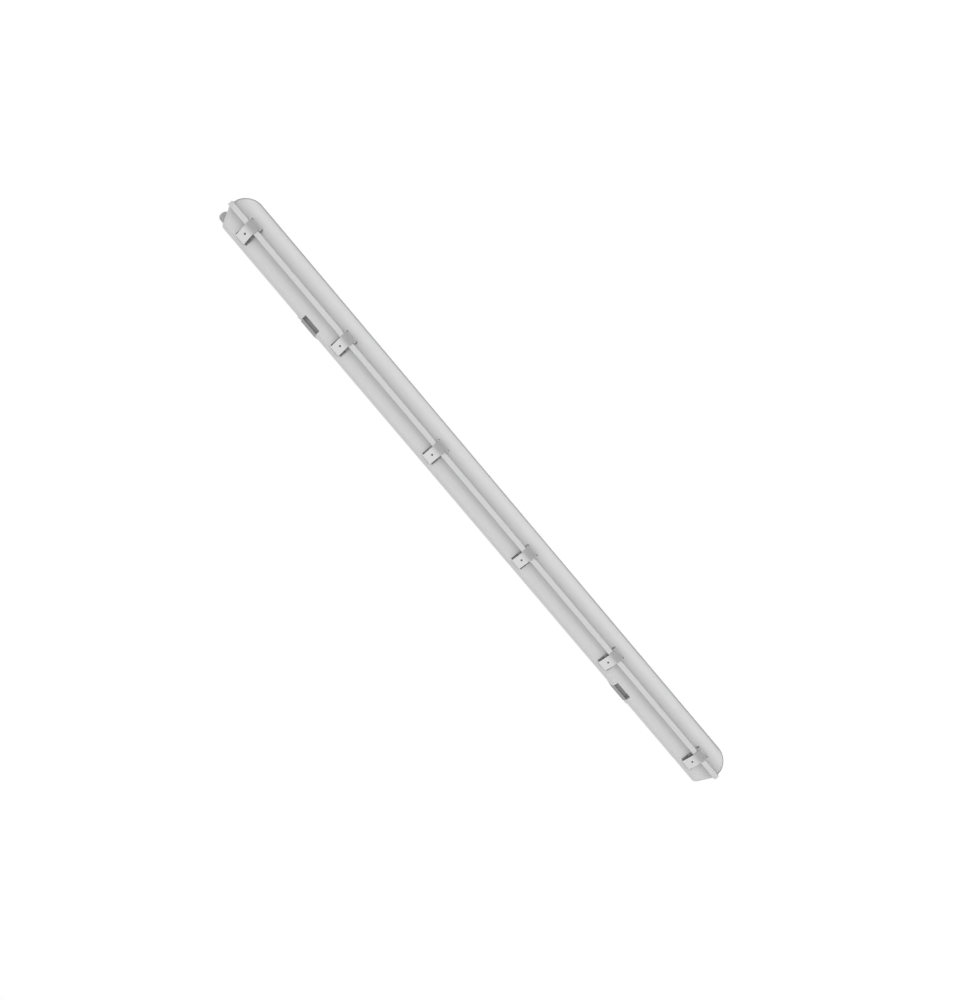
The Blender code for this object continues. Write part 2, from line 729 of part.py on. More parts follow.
# Cable gland, as (x, radius) profiles; the rings marked hex are hexagons
washer_x = boss_x + fit_gap
hex_x = washer_x + gland_washer_thickness + fit_gap
thread_x = hex_x + gland_hex_length
nut_x = thread_x + fit_gap
nut_end_x = nut_x + gland_nut_length
dome_x = nut_end_x - gland_nut_dome
dome_middle = gland_nut_radius - gland_nut_dome
nut_thread = gland_nut_radius - gland_nut_wall
body_thread = nut_thread - fit_gap
body_end_x = dome_x - fit_gap
seal_radius = body_thread - seal_cup_wall
cup_x = hex_x + gland_washer_thickness
seal_end_x = nut_end_x - gland_nut_wall - fit_gap

washer_bore = gland_thread_radius + fit_gap
turned("gland_washer", ((washer_x, washer_bore), (washer_x, gland_hex_radius),
                        (hex_x - fit_gap, gland_hex_radius), (hex_x - fit_gap, washer_bore)),
       gland_centre, steps=gland_steps, finish=seal_rubber, closed=True)
turned("gland_body", ((boss_x - gland_tail, gland_bore_radius), (boss_x - gland_tail, gland_thread_radius),
                      (hex_x, gland_thread_radius), (hex_x, gland_hex_radius, "hex"),
                      (thread_x, gland_hex_radius, "hex"), (thread_x, body_thread),
                      (body_end_x, body_thread), (body_end_x, seal_radius + fit_gap),
                      (cup_x, seal_radius + fit_gap), (cup_x, gland_bore_radius)),
       gland_centre, steps=gland_steps, finish=gland_grey, closed=True)
turned("gland_seal", ((cup_x + fit_gap, seal_bore_radius), (cup_x + fit_gap, seal_radius),
                      (body_end_x, seal_radius), (seal_end_x, gland_mouth_radius + fit_gap),
                      (seal_end_x, seal_bore_radius)),
       gland_centre, steps=gland_steps, finish=seal_rubber, closed=True)
nut_profile = [(nut_x, nut_thread), (nut_x, gland_nut_radius)]
for step in range(dome_steps + 1):
    angle = pi / 2 * (1 - step / dome_steps)
    nut_profile.append((dome_x + gland_nut_dome * cos(angle), dome_middle + gland_nut_dome * sin(angle)))
inner_dome = gland_nut_dome - gland_nut_wall
nut_profile += [(nut_end_x, gland_mouth_radius), (nut_end_x - gland_nut_wall, gland_mouth_radius)]
for step in range(1, dome_steps):
    angle = pi / 2 * step / dome_steps
    nut_profile.append((dome_x + inner_dome * cos(angle), nut_thread - inner_dome * (1 - sin(angle))))
nut_profile.append((dome_x, nut_thread))
gland_nut = turned("gland_nut", [(x - boss_x, radius) for x, radius in nut_profile], (0.0, 0.0, 0.0),
                   steps=gland_steps, finish=gland_grey, closed=True)
gland_nut.location = (boss_x, 0.0, gland_z)
locknut_x = boss_x - boss_face - fit_gap
turned("gland_locknut", ((locknut_x, gland_thread_radius + fit_gap), (locknut_x, gland_locknut_radius, "hex"),
                         (locknut_x - gland_locknut_length, gland_locknut_radius, "hex"),
                         (locknut_x - gland_locknut_length, gland_thread_radius + fit_gap)),
       gland_centre, steps=gland_steps, finish=gland_grey, closed=True)

# Gear tray: folded sheet with upturned edges, a lead hole and an earth tab
edge_z = tray_bottom_z + tray_edge_height
inner_half = tray_half_width - tray_sheet
tray_outline = ((-tray_half_width, edge_z), (-tray_half_width, tray_bottom_z),
                (tray_half_width, tray_bottom_z), (tray_half_width, edge_z), (inner_half, edge_z),
                (inner_half, tray_top_z), (-inner_half, tray_top_z), (-inner_half, edge_z))
gear_tray = prism("gear_tray", tray_outline, -tray_half_length, tray_half_length, finish=tray_white)
earth_tab_x = terminal_place - terminal_length - earth_tab_reach
tab = block("tab", (earth_tab_x, terminal_pitch - earth_tab_width / 2, tray_bottom_z + tray_sheet / 2),
            (earth_tab_x + tray_sheet, terminal_pitch + earth_tab_width / 2, tray_top_z + earth_tab_height))
combine(gear_tray, "UNION", [tab])

board_places = [board_step * (k - (board_count - 1) / 2) for k in range(board_count)]
screw_places = [(x + side * (board_length / 2 - board_screw_inset), side * board_screw_offset)
                for x in board_places for side in (-1, 1)]
ear_x = driver_length / 2 + driver_ear_length / 2
ear_places = [(driver_place + ear_x, driver_ear_offset), (driver_place - ear_x, -driver_ear_offset)]
tray_screw_places = [(x, y) for x in post_places for y in (post_offset, -post_offset)]
tray_holes = [(x, y, pilot_radius) for x, y in tray_screw_places + ear_places]
tray_holes += [(x, y, board_screw_shank_radius + fit_gap) for x, y in screw_places]
tray_holes.append((lead_hole_x, feed_offset, lead_hole_radius))
holes = [prism("hole", circle((x, y), radius, hole_steps), tray_bottom_z - overrun, tray_top_z + overrun / 2,
               axis="Z") for x, y, radius in tray_holes]
combine(gear_tray, "DIFFERENCE", [gather("tray_holes", holes)])

# Boards under the tray, each with its row of light emitting packages soldered on
package_pitch = board_length / packages_per_board
for k, x in enumerate(board_places, start=1):
    board = block(f"led_board_{k}", (x - board_length / 2, -board_width / 2, board_bottom_z),
                  (x + board_length / 2, board_width / 2, board_top_z), board_white)
    holes = [prism("hole", circle(place, board_screw_shank_radius + fit_gap, hole_steps),
                   board_bottom_z - overrun, board_top_z + fit_gap / 2, axis="Z")
             for place in screw_places[2 * k - 2:2 * k]]
    combine(board, "DIFFERENCE", [gather("board_holes", holes)])
    packages = []
    for m in range(packages_per_board):
        middle = x + package_pitch * (m - (packages_per_board - 1) / 2)
        packages.append(block("package", (middle - package_length / 2, -package_width / 2,
                                          board_bottom_z - package_height),
                              (middle + package_length / 2, package_width / 2,
                               board_bottom_z + board_thickness / 2)))
    combine(board, "UNION", [gather("packages", packages)])

# Connectors at the board ends: one for each end of a link lead, and one for the feed
connector_top_z = board_bottom_z - fit_gap
gap_places = (-board_step / 2, board_step / 2)
connector_ends = [(gap_x + side * board_gap / 2, side, 0.0) for gap_x in gap_places for side in (-1, 1)]
connector_ends.append((lead_hole_x - board_gap / 2, -1, feed_offset))
for k, (end_x, side, y) in enumerate(connector_ends, start=1):
    block(f"board_connector_{k}", (end_x, y - connector_width / 2, connector_top_z - connector_height),
          (end_x + side * connector_length, y + connector_width / 2, connector_top_z), terminal_white)


# Screws: a domed pan head and a shank, pointing up or down
def pan_head_screw(name, place, head_z, radius, head_radius, head_height, length, up=1):
    profile = ((head_z - up * head_height, head_radius / 2), (head_z - up * head_height / 2, head_radius),
               (head_z, head_radius), (head_z, radius), (head_z + up * length, radius))
    return turned(name, profile, (*place, 0.0), axis="Z", steps=screw_steps, finish=zinc_screw)


for k, place in enumerate(tray_screw_places, start=1):
    pan_head_screw(f"tray_screw_{k}", place, tray_bottom_z - fit_gap, screw_shank_radius,
                   screw_head_radius, screw_head_height, screw_length)
for k, place in enumerate(screw_places, start=1):
    pan_head_screw(f"board_screw_{k}", place, board_bottom_z - fit_gap, board_screw_shank_radius,
                   board_screw_head_radius, board_screw_head_height, board_screw_length)
ear_top_z = tray_top_z + fit_gap + driver_ear_thickness
driver_screw_length = ear_top_z + fit_gap - tray_bottom_z
for k, place in enumerate(ear_places, start=1):
    pan_head_screw(f"driver_screw_{k}", place, ear_top_z + fit_gap, screw_shank_radius,
                   screw_head_radius, screw_head_height, driver_screw_length, up=-1)

# Driver: a case with broken top edges and a fixing ear at each end
driver_bottom_z = tray_top_z + fit_gap
driver_top_z = driver_bottom_z + driver_height
case_half = driver_width / 2
case_outline = ((-case_half, driver_bottom_z), (case_half, driver_bottom_z),
                (case_half, driver_top_z - driver_edge), (case_half - driver_edge, driver_top_z),
                (driver_edge - case_half, driver_top_z), (-case_half, driver_top_z - driver_edge))
driver = prism("driver", case_outline, driver_place - driver_length / 2, driver_place + driver_length / 2,
               finish=driver_white)
ear_reach = driver_length / 2 + driver_ear_length
ears = block("ears", (driver_place - ear_reach, -case_half + driver_edge, driver_bottom_z),
             (driver_place + ear_reach, case_half - driver_edge, ear_top_z))
combine(driver, "UNION", [ears])
holes = [prism("hole", circle(place, pilot_radius, hole_steps), driver_bottom_z - overrun,
               ear_top_z + overrun, axis="Z") for place in ear_places]
combine(driver, "DIFFERENCE", [gather("ear_holes", holes)])

# Terminal block: a stepped body with a lead entry at both ends and a screw well for each pole
terminal_bottom_z = tray_top_z + fit_gap
terminal_half = terminal_length / 2
shelf = terminal_height - terminal_step
terminal_outline = [(terminal_place + u, terminal_bottom_z + v) for u, v in
                    ((-terminal_half, 0.0), (terminal_half, 0.0), (terminal_half, shelf),
                     (terminal_half - terminal_step, shelf), (terminal_half - terminal_step, terminal_height),
                     (terminal_step - terminal_half, terminal_height), (terminal_step - terminal_half, shelf),
                     (-terminal_half, shelf))]
terminal_width = terminal_pitch * terminal_poles
terminal_block = prism("terminal_block", terminal_outline, -terminal_width / 2, terminal_width / 2, axis="Y",
                       finish=terminal_white)
entry_z = terminal_bottom_z + shelf / 2
pole_places = [terminal_pitch * (k - (terminal_poles - 1) / 2) for k in range(terminal_poles)]
entries = []
for y in pole_places:
    for side in (-1, 1):
        outer_x = terminal_place + side * (terminal_half + overrun)
        inner_x = terminal_place + side * (terminal_half - terminal_entry_depth)
        entries.append(turned("entry", ((outer_x, terminal_entry_radius), (inner_x, terminal_entry_radius)),
                              (0.0, y, entry_z), steps=hole_steps))
    entries.append(prism("well", circle((terminal_place, y), terminal_entry_radius, hole_steps),
                         terminal_bottom_z + shelf, terminal_bottom_z + terminal_height + overrun, axis="Z"))
combine(terminal_block, "DIFFERENCE", [gather("entries", entries)])


# Leads inside: round tubes with straight runs and rounded bends
def lead(name, route, radius, half_spread=0.0):
    """Sweep a circle along a route, or the oval of a twin lead, with ends square to it."""
    rings = []
    for k, point in enumerate(route):
        along = (route[min(k + 1, len(route) - 1)] - route[max(k - 1, 0)]).normalized()
        upward = Vector((-along.z, 0.0, along.x))
        ring = []
        for u, v in circle((0.0, 0.0), radius, wire_sides):
            sideways = Vector((0.0, u + copysign(half_spread, u), 0.0))
            ring.append(point + upward * v + sideways)
        rings.append(ring)
    return loft(name, rings, lead_insulation)


wire_z = tray_top_z + wire_radius + fit_gap
entry_x = terminal_place - terminal_half + terminal_entry_depth - terminal_step / 2
case_end_x = driver_place + driver_length / 2 + fit_gap
run_start_x = terminal_place - terminal_length
run_end_x = case_end_x + terminal_length
for name, y in zip(("neutral_lead", "live_lead"), pole_places):
    corners = ((entry_x, y, entry_z), (run_start_x, y, entry_z), (run_start_x - lead_slope_run, y, wire_z),
               (run_end_x + lead_slope_run, y, wire_z), (run_end_x, y, entry_z), (case_end_x, y, entry_z))
    lead(name, rounded_path(corners, [lead_bend] * len(corners), wire_steps), wire_radius)
earth_end_x = earth_tab_x + tray_sheet + fit_gap
lead("earth_lead", [Vector((x, terminal_pitch, entry_z)) for x in (entry_x, earth_end_x)], wire_radius)

link_z = connector_top_z - connector_height / 2
link_reach = board_gap / 2 - fit_gap
for k, gap_x in enumerate(gap_places, start=1):
    ends = (gap_x - link_reach, gap_x + link_reach)
    lead(f"link_lead_{k}", [Vector((x, 0.0, link_z)) for x in ends], link_radius, link_spread)
feed_corners = ((driver_place - driver_length / 2 - fit_gap, feed_offset, entry_z),
                (lead_hole_x, feed_offset, entry_z), (lead_hole_x, feed_offset, link_z),
                (lead_hole_x - link_reach, feed_offset, link_z))
lead("feed_lead", rounded_path(feed_corners, [feed_bend, feed_bend], wire_steps), link_radius, link_spread)
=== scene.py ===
from math import cos, pi, radians, sin, tan

import bpy
from mathutils import Matrix, Vector


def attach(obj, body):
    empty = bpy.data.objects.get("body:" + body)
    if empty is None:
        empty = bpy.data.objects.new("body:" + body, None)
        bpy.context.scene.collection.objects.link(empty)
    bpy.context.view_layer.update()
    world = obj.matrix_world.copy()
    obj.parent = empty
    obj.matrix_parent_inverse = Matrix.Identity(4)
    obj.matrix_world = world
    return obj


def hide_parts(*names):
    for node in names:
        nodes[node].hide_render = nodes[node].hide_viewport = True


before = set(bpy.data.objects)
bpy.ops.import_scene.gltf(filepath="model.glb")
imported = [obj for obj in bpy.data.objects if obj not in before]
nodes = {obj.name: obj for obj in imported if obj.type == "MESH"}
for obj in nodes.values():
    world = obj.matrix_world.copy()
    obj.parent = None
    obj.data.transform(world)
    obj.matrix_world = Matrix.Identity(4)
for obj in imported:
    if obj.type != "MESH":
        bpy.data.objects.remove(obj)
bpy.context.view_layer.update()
mm = 0.001

# Camera.  It stands a metre and a half from the front long side, about level with
# the light, turned a little towards its far end, and rolled so that the light lies
# corner to corner in the picture with its cable gland at the upper left.
camera_place = Vector((127.9 * mm, -1547.2 * mm, -78.5 * mm))
camera_turn = radians(4.617)
camera_tilt = radians(1.226)
camera_roll = radians(-130.126)
camera_lens = 26.33
camera_sensor = 36.0
bpy.ops.object.camera_add(location=camera_place)
camera = bpy.context.object
camera.name = "camera"
camera.data.lens = camera_lens
camera.data.sensor_width = camera_sensor
looking = (Matrix.Rotation(camera_turn, 3, "Z")
           @ Matrix.Rotation(pi / 2 + camera_tilt, 3, "X")
           @ Matrix.Rotation(camera_roll, 3, "Z"))
camera.rotation_euler = looking.to_euler()
bpy.context.scene.camera = camera
bpy.context.scene.view_settings.view_transform = "Standard"

# Floor and light.  The camera sees floor and room plain white.  They glow behind the
# light, the room in front brightens upwards, and five wide softboxes in front, each
# with its rise in degrees, its power and whether steel mirrors it, shade the ledges.
floor_drop = 3.0
floor_size = 60.0
floor_shade = 0.6
floor_roughness = 0.9
backdrop_from = 1.0
backdrop_to = 1.7
backdrop_glow = 0.6
room_floor = -0.3
room_ceiling = 0.7
room_low = 0.258
room_high = 0.93
room_back_from = 0.1
room_back_to = 0.5
softbox_distance = 2.4
softbox_width = 6.4
softbox_height = 1.1
softboxes = ((75, 4.2, True), (50, 2.6, True), (25, 4.6, True),
             (-20, 13.1, False), (-50, 43.4, False))


class Signal:
    """A socket of a finish's nodes, which Python's own arithmetic works on."""

    def __init__(self, finish, socket):
        self.finish = finish
        self.socket = socket

    def math(self, operation, first, second):
        return self.finish.node("ShaderNodeMath", {"operation": operation},
                                {0: first, 1: second})

    def __add__(self, other):
        return self.math("ADD", self, other)

    def __radd__(self, other):
        return self.math("ADD", other, self)

    def __sub__(self, other):
        return self.math("SUBTRACT", self, other)

    def __mul__(self, other):
        return self.math("MULTIPLY", self, other)

    def __rmul__(self, other):
        return self.math("MULTIPLY", other, self)

    def __lt__(self, other):
        return self.math("LESS_THAN", self, other)

    def at_least(self, other):
        return self.math("MAXIMUM", self, other)


class Finish:
    """A material, or the room around it, whose nodes are written as Python expressions."""

    def __init__(self, name, kind=bpy.data.materials, surface="Principled BSDF",
                 coordinates="Object", **settled):
        self.material = kind.new(name)
        self.material.use_nodes = True
        self.tree = self.material.node_tree
        self.surface = self.tree.nodes[surface]
        for socket, value in settled.items():
            self.set(socket.replace("_", " ").title().replace("Ior", "IOR"), value)
        self.place = self.node("ShaderNodeTexCoord", {}, {}, coordinates)

    def node(self, kind, settings, sockets, output=0):
        made = self.tree.nodes.new(kind)
        for key, value in settings.items():
            setattr(made, key, value)
        for key, value in sockets.items():
            self.feed(made.inputs[key], value)
        return Signal(self, made.outputs[output])

    def feed(self, socket, value):
        if isinstance(value, Signal):
            self.tree.links.new(value.socket, socket)
        else:
            socket.default_value = value

    def set(self, socket, value):
        self.feed(self.surface.inputs[socket], value)

    def seen(self):
        """1 for the camera's own look, 0 for all other light."""
        return self.node("ShaderNodeLightPath", {}, {}, "Is Camera Ray")

    def along(self, axis):
        """How far a point lies along X, Y or Z."""
        return self.node("ShaderNodeSeparateXYZ", {}, {"Vector": self.place}, axis)

    def ramp(self, value, start, end, low=0.0, high=1.0):
        """From low at start to high at end, and level beyond them."""
        return self.node("ShaderNodeMapRange", {},
                         {"Value": value, "From Min": start, "From Max": end,
                          "To Min": low, "To Max": high})

    def stretched(self, stretch):
        """Object coordinates squeezed along each axis, in metres for one unit."""
        scale = tuple(1 / size for size in stretch)
        return self.node("ShaderNodeMapping", {}, {"Vector": self.place, "Scale": scale})

    def noise(self, size, detail):
        """Soft cloudy noise whose blobs are about size across, along each axis."""
        stretch = size if isinstance(size, tuple) else (size, size, size)
        return self.node("ShaderNodeTexNoise", {},
                         {"Vector": self.stretched(stretch), "Scale": 1.0, "Detail": detail})

    def shade(self, amount, dark, light):
        """A colour between two, by an amount from 0 to 1."""
        return self.node("ShaderNodeMix", {"data_type": "RGBA"},
                         {0: amount, 6: (*dark, 1.0), 7: (*light, 1.0)}, 2)

    def bump(self, height, depth):
        bumpy = self.node("ShaderNodeBump", {}, {"Height": height, "Distance": depth})
        self.set("Normal", bumpy)


bpy.ops.mesh.primitive_plane_add(size=floor_size, location=(0.0, 0.0, -floor_drop))
floor = bpy.context.object
floor.name = "floor"
pale_floor = Finish("pale_floor", roughness=floor_roughness, emission_strength=backdrop_glow)
pale_floor.set("Base Color", (floor_shade, floor_shade, floor_shade, 1.0))
backdrop = pale_floor.ramp(pale_floor.along("Y"), backdrop_from, backdrop_to)
pale_floor.set("Emission Color", backdrop.at_least(pale_floor.seen()))
floor.data.materials.append(pale_floor.material)

room = Finish("studio_room", bpy.data.worlds, "Background", "Generated")
room_front = room.ramp(room.along("Z"), room_floor, room_ceiling, room_low, room_high)
room_back = room.ramp(room.along("Y"), room_back_from, room_back_to)
room.set("Color", room_front.at_least(room_back).at_least(room.seen()))
bpy.context.scene.world = room.material

for degrees, power, shines in softboxes:
    rise = radians(degrees)
    away = Vector((0.0, -cos(rise), sin(rise))) * softbox_distance
    bpy.ops.object.light_add(type="AREA", location=away, rotation=(pi / 2 - rise, 0.0, 0.0))
    lamp = bpy.context.object
    lamp.name = "softbox"
    lamp.data.shape = "RECTANGLE"
    lamp.data.size = softbox_width
    lamp.data.size_y = softbox_height
    lamp.data.energy = power
    lamp.visible_camera = False
    lamp.visible_glossy = shines

# Housing.  The grey back shell is one injection moulding: a rounded back with
# drafted walls, a rim with a gasket groove under it, four pockets for the mounting
# straps, two ribs that keep them in place, twelve clip seats and a gland boss.
length = 1570 * mm
width = 100 * mm
flange_corner = 22 * mm
back_z = -2 * mm
flange_top_z = -41 * mm
flange_bottom_z = -52.1 * mm
corner_segments = 10
stack_start = 1000 * mm
stack_step = 20 * mm
wall = 2.3 * mm
gap = 0.3 * mm
same_place = 0.01 * mm


def near(a, b):
    return abs(a - b) < same_place


def pick(test, kind="VERT"):
    """Select the vertices, edges or faces whose middle passes a test."""
    bpy.ops.mesh.select_mode(type=kind)
    bpy.ops.mesh.select_all(action="DESELECT")
    bpy.ops.object.mode_set(mode="OBJECT")
    mesh = bpy.context.object.data
    if kind == "VERT":
        for vertex in mesh.vertices:
            vertex.select = test(vertex.co)
    if kind == "EDGE":
        for edge in mesh.edges:
            first, last = (mesh.vertices[k].co for k in edge.vertices)
            edge.select = test((first + last) / 2)
    if kind == "FACE":
        for face in mesh.polygons:
            face.select = test(face.center)
    bpy.ops.object.mode_set(mode="EDIT")


def select_open_edges():
    bpy.ops.mesh.select_non_manifold(extend=False, use_multi_face=False,
                                     use_non_contiguous=False, use_verts=False)


def draw_shell(name, outlines):
    """Bridge a stack of rounded rectangles, inset from the rim, then set their heights."""
    bpy.ops.object.select_all(action="DESELECT")
    bpy.ops.mesh.primitive_plane_add(size=1.0)
    shell = bpy.context.object
    shell.name = name
    bpy.ops.object.mode_set(mode="EDIT")
    bpy.ops.mesh.delete(type="VERT")
    levels = [-stack_start - stack_step * k for k in range(len(outlines))]
    for (side, end, corner, _), level in zip(outlines, levels):
        bpy.ops.mesh.primitive_plane_add(size=1.0, location=(0.0, 0.0, level))
        bpy.ops.transform.resize(value=(length - 2 * end, width - 2 * side, 1.0))
        bpy.ops.mesh.bevel(offset=corner, segments=corner_segments, affect="VERTICES")
        if level != levels[0]:
            bpy.ops.mesh.delete(type="ONLY_FACE")
            select_open_edges()
            bpy.ops.mesh.bridge_edge_loops()
    select_open_edges()
    bpy.ops.mesh.edge_face_add()
    for (*_, height), level in zip(outlines, levels):
        pick(lambda at: near(at.z, level))
        bpy.ops.transform.translate(value=(0.0, 0.0, height - level))
    bpy.ops.mesh.select_all(action="SELECT")
    bpy.ops.mesh.normals_make_consistent(inside=False)
    bpy.ops.object.mode_set(mode="OBJECT")
    return shell


def make_active(piece):
    bpy.ops.object.select_all(action="DESELECT")
    piece.select_set(True)
    bpy.context.view_layer.objects.active = piece


def combine(piece, operation, tools):
    """Join tools to a piece or cut them out of it, one after another."""
    make_active(piece)
    for tool in tools:
        modifier = piece.modifiers.new("combine", "BOOLEAN")
        modifier.operation = operation
        modifier.solver = "EXACT"
        modifier.object = tool
        bpy.ops.object.modifier_apply(modifier=modifier.name)
        bpy.data.objects.remove(tool, do_unlink=True)


def add_block(corner, opposite):
    """A block between two opposite corners, left in edit mode with everything selected."""
    low = Vector(tuple(map(min, corner, opposite)))
    high = Vector(tuple(map(max, corner, opposite)))
    bpy.ops.object.select_all(action="DESELECT")
    bpy.ops.mesh.primitive_cube_add(size=1.0)
    bpy.ops.object.mode_set(mode="EDIT")
    bpy.ops.transform.resize(value=high - low)
    bpy.ops.transform.translate(value=(low + high) / 2)


def done():
    bpy.ops.object.mode_set(mode="OBJECT")
    return bpy.context.object


def add_rod(start, end, radius, sides):
    """A round bar along X or Z between two points."""
    start = Vector(start)
    end = Vector(end)
    along = end - start
    turn = (0.0, pi / 2 if abs(along.x) > abs(along.z) else 0.0, 0.0)
    bpy.ops.object.select_all(action="DESELECT")
    bpy.ops.mesh.primitive_cylinder_add(vertices=sides, radius=radius, depth=along.length,
                                        location=(start + end) / 2, rotation=turn)
    bpy.ops.object.transform_apply(location=True, rotation=True, scale=True)
    return bpy.context.object


side_overhang = 10 * mm
side_draft = 1.5 * mm
end_overhang = 3.2 * mm
end_slope = 0.5
end_wall_factor = 1.13
shoulder = 13 * mm
shoulder_steps = 10
edge_round = 0.6 * mm
edge_steps = 3
skirt = 2.2 * mm
groove_floor_z = flange_top_z - skirt
groove_inner = 9.4 * mm
lip_bottom_z = groove_floor_z - 6 * mm
wall_corner = 14 * mm
back_corner = 9 * mm
back_edge_round = 1.0 * mm


def back_outlines(shell, radius, top_z):
    """Outlines from the flat back down over the rounded shoulder."""
    made = []
    for step in range(shoulder_steps + 1):
        angle = pi / 2 * step / shoulder_steps
        height = top_z - radius * (1 - cos(angle))
        side = side_overhang + side_draft + shoulder - radius * sin(angle)
        end = end_overhang + end_slope * (height - flange_top_z) + end_wall_factor * shell
        end += back_edge_round * (1 - sin(min(2 * angle, pi / 2)))
        corner = back_corner + (wall_corner - back_corner) * step / shoulder_steps - shell
        made.append((side, end, corner, height))
    return made


housing_outlines = back_outlines(0.0, shoulder, back_z)
housing_outlines.append((side_overhang, end_overhang, wall_corner, flange_top_z))
for sign, height in ((1, flange_top_z), (-1, flange_bottom_z)):
    for step in range(edge_steps + 1):
        angle = pi / 2 * step / edge_steps
        across = sin(angle) if sign > 0 else cos(angle)
        down = cos(angle) if sign > 0 else sin(angle)
        inset = edge_round * (1 - across)
        level = height - sign * edge_round * (1 - down)
        housing_outlines.append((inset, inset, flange_corner - inset, level))
lip_side = side_overhang + wall
lip_end = groove_inner + wall
housing_outlines += [
    (skirt, skirt, flange_corner - skirt, flange_bottom_z),
    (skirt, skirt, flange_corner - skirt, groove_floor_z),
    (groove_inner, groove_inner, flange_corner - groove_inner, groove_floor_z),
    (groove_inner, groove_inner, flange_corner - groove_inner, lip_bottom_z),
    (lip_side, lip_end, flange_corner - lip_end, lip_bottom_z),
    (lip_side, lip_end, flange_corner - lip_end, flange_top_z - edge_round),
    (lip_side, end_overhang + end_wall_factor * wall, wall_corner - wall, flange_top_z),
]
housing_outlines += reversed(back_outlines(wall, shoulder - wall, back_z - wall))
housing = draw_shell("housing_shell", housing_outlines)

strap_places = (500 * mm, -500 * mm)
pocket_half = 21 * mm
pocket_wall = 2 * mm
pocket_floor = 24.5 * mm
pocket_low_z = -16.3 * mm
lip_low_z = -7 * mm
lip_foot = 32.5 * mm
lip_head = 24.6 * mm
shoulder_y = width / 2 - side_overhang - side_draft
backing_round = shoulder - wall / 2
additions = []
cuts = []
for place in strap_places:
    for side in (1, -1):
        outer = side * (shoulder_y - wall / 2)
        inner = side * (pocket_floor - pocket_wall)
        add_block((place - pocket_half - pocket_wall, inner, pocket_low_z - pocket_wall),
                  (place + pocket_half + pocket_wall, outer, back_z - wall / 2))
        pick(lambda at: near(at.y, outer) and near(at.z, back_z - wall / 2), "EDGE")
        bpy.ops.mesh.bevel(offset=backing_round, segments=shoulder_steps)
        additions.append(done())

        add_block((place - pocket_half, side * pocket_floor, pocket_low_z),
                  (place + pocket_half, side * width / 2, lip_low_z))
        cuts.append(done())
        add_block((place - pocket_half, side * lip_head, lip_low_z - gap),
                  (place + pocket_half, side * width / 2, 0.0))
        pick(lambda at: near(at.y, side * lip_head) and near(at.z, lip_low_z - gap), "EDGE")
        bpy.ops.transform.translate(value=(0.0, side * (lip_foot - lip_head), 0.0))
        cuts.append(done())

clip_count = 6
clip_pitch = 285.6 * mm
clip_width = 26 * mm
clip_places = [clip_pitch * ((clip_count - 1) / 2 - k) for k in range(clip_count)]
seat_side_gap = 2.5 * mm
seat_half = clip_width / 2 + seat_side_gap
seat_floor = 32.5 * mm
seat_top_z = -15 * mm
seat_low_z = -30.4 * mm
toe_floor = 36.9 * mm
toe_wall = 1.1 * mm
toe_root = 38.2 * mm
toe_low_z = -39.5 * mm
for place in clip_places:
    for side in (1, -1):
        inner = side * (seat_floor - pocket_wall)
        outer = side * (shoulder_y - wall / 2)
        add_block((place - seat_half - pocket_wall, inner, seat_low_z - pocket_wall),
                  (place + seat_half + pocket_wall, outer, seat_top_z + pocket_wall))
        additions.append(done())
        add_block((place - seat_half, side * seat_floor, seat_low_z),
                  (place + seat_half, side * width / 2, seat_top_z))
        cuts.append(done())
        inner = side * (toe_floor - toe_wall)
        outer = side * toe_root
        add_block((place - seat_half - toe_wall, inner, flange_top_z + gap),
                  (place + seat_half + toe_wall, outer, seat_low_z))
        additions.append(done())
        add_block((place - seat_half, side * toe_floor, toe_low_z),
                  (place + seat_half, side * width / 2, seat_low_z + gap))
        cuts.append(done())

rib_place = 531 * mm
rib_half = 3 * mm
rib_reach = 20 * mm
rib_top_z = -0.2 * mm
rib_round = 0.8 * mm
for side in (1, -1):
    add_block((side * rib_place - rib_half, -rib_reach, back_z - wall / 2),
              (side * rib_place + rib_half, rib_reach, rib_top_z))
    pick(lambda at: near(at.z, rib_top_z), "EDGE")
    bpy.ops.mesh.bevel(offset=rib_round, segments=edge_steps)
    additions.append(done())

post_places = (-600 * mm, 0.0, 600 * mm)
post_offset = 25 * mm
post_radius = 4 * mm
post_sides = 24
post_end_z = -45.8 * mm
pilot_radius = 1.7 * mm
pilot_sides = 16
pilot_top_z = -36.9 * mm
for x in post_places:
    for y in (post_offset, -post_offset):
        additions.append(add_rod((x, y, back_z - wall / 2), (x, y, post_end_z),
                                 post_radius, post_sides))
        cuts.append(add_rod((x, y, pilot_top_z), (x, y, post_end_z - wall),
                            pilot_radius, pilot_sides))

boss_inset = 16 * mm
boss_x = length / 2 - boss_inset
boss_depth = 16 * mm
boss_radius = 13 * mm
boss_sides = 64
gland_z = -18.4 * mm
boss_low_z = gland_z - boss_radius
boss_foot = length / 2 - end_overhang - end_wall_factor * wall / 2
add_block((boss_x - boss_depth, -boss_radius, boss_low_z), (boss_x, boss_radius, gland_z))
for height in (boss_low_z, gland_z):
    pick(lambda at: near(at.x, boss_x) and near(at.z, height), "EDGE")
    reach = boss_foot - end_slope * (height - flange_top_z) - boss_x
    bpy.ops.transform.translate(value=(reach, 0.0, 0.0))
additions.append(done())
additions.append(add_rod((boss_x - boss_depth, 0.0, gland_z), (boss_x, 0.0, gland_z),
                         boss_radius, boss_sides))
spot_radius = 12.2 * mm
bore_radius = 8.3 * mm
inner_radius = 10.75 * mm
boss_face = 3.5 * mm
